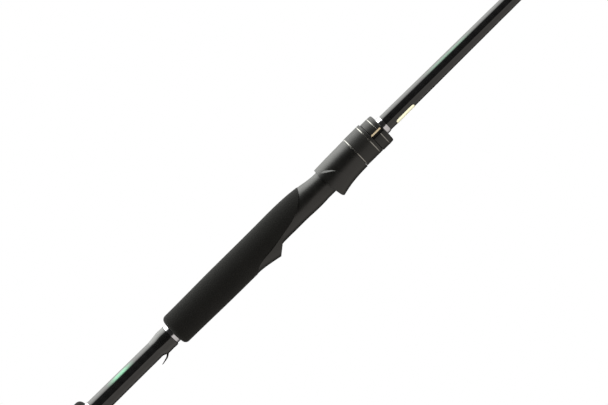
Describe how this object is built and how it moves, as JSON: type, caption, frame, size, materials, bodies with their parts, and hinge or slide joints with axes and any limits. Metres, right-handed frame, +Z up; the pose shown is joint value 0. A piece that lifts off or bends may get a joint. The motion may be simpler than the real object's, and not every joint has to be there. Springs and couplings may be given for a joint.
{
  "type": "spinning rod",
  "caption": "Two-piece spinning fishing rod with foam grips, a screw-locked reel seat, a hook keeper, a put-over ferrule and line guides.",
  "frame": {"origin": "centre of the flat butt end face, on the rod's axis", "axes": "+X along the rod from butt to tip; +Z up, with the reel side and the line guides on -Z; +Y to the left seen from the butt"},
  "size_m": [2.133, 0.0266, 0.0562],
  "materials": {
    "blank": "glossy clear-coated graphite",
    "butt_rubber": "matte moulded rubber",
    "grip_foam": "matte fine-cell foam",
    "silver_ring": "polished and anodised",
    "keeper_wire": "black-plated wire",
    "thread_wrap": "black thread under clear epoxy",
    "seat_plastic": "satin black",
    "arbor": "plain foam bushing",
    "nut_core": "plain moulded",
    "collar_inlay": "plain moulded",
    "guide_frame": "black-plated steel",
    "guide_ceramic": "polished dark ceramic"
  },
  "bodies": {
    "rod": {"butt_blank": "blank", "butt_cap": "butt_rubber", "rear_grip": "grip_foam", "rear_grip_ring": "silver_ring", "hook_keeper": "keeper_wire", "keeper_wrap": "thread_wrap", "reel_seat_body": "seat_plastic", "main_grip": "grip_foam", "grip_ring": "silver_ring", "seat_arbors": "arbor", "front_collar": "seat_plastic", "collar_strip": "collar_inlay", "collar_ring": "silver_ring", "front_ring": "silver_ring", "butt_section_wrap": "thread_wrap", "guide_1_frame": "guide_frame", "guide_1_ring": "guide_ceramic", "guide_1_wraps": "thread_wrap"},
    "hood": {"sliding_hood": "seat_plastic"},
    "lock_nut": {"nut_core": "nut_core", "nut_sleeve": "seat_plastic", "nut_rear_ring": "silver_ring", "nut_front_ring": "silver_ring"},
    "tip_section": {"tip_blank": "blank", "ferrule_wrap": "thread_wrap", "tip_top_frame": "guide_frame", "tip_top_ring": "guide_ceramic", "tip_top_wrap": "thread_wrap", "guide_2_frame": "guide_frame", "guide_2_ring": "guide_ceramic", "guide_2_wraps": "thread_wrap", "guide_3_frame": "guide_frame", "guide_3_ring": "guide_ceramic", "guide_3_wraps": "thread_wrap", "guide_4_frame": "guide_frame", "guide_4_ring": "guide_ceramic", "guide_4_wraps": "thread_wrap", "guide_5_frame": "guide_frame", "guide_5_ring": "guide_ceramic", "guide_5_wraps": "thread_wrap", "guide_6_frame": "guide_frame", "guide_6_ring": "guide_ceramic", "guide_6_wraps": "thread_wrap", "guide_7_frame": "guide_frame", "guide_7_ring": "guide_ceramic", "guide_7_wraps": "thread_wrap"}
  },
  "joints": [
    {"name": "hood_slide", "type": "slide", "parent": "rod", "child": "hood", "axis": [1, 0, 0], "range_m": [-0.01201, 0]},
    {"name": "nut_turn", "type": "hinge", "parent": "hood", "child": "lock_nut", "pos_m": [0.3827, 0, 0], "axis": [1, 0, 0], "range_deg": [-2160, 0]},
    {"name": "ferrule_slide", "type": "slide", "parent": "rod", "child": "tip_section", "axis": [1, 0, 0], "range_m": [0, 0.085]}
  ],
  "couplings": [
    {"joint": "hood_slide", "follows": "nut_turn", "m_per_rad": 0.00031831}
  ]
}
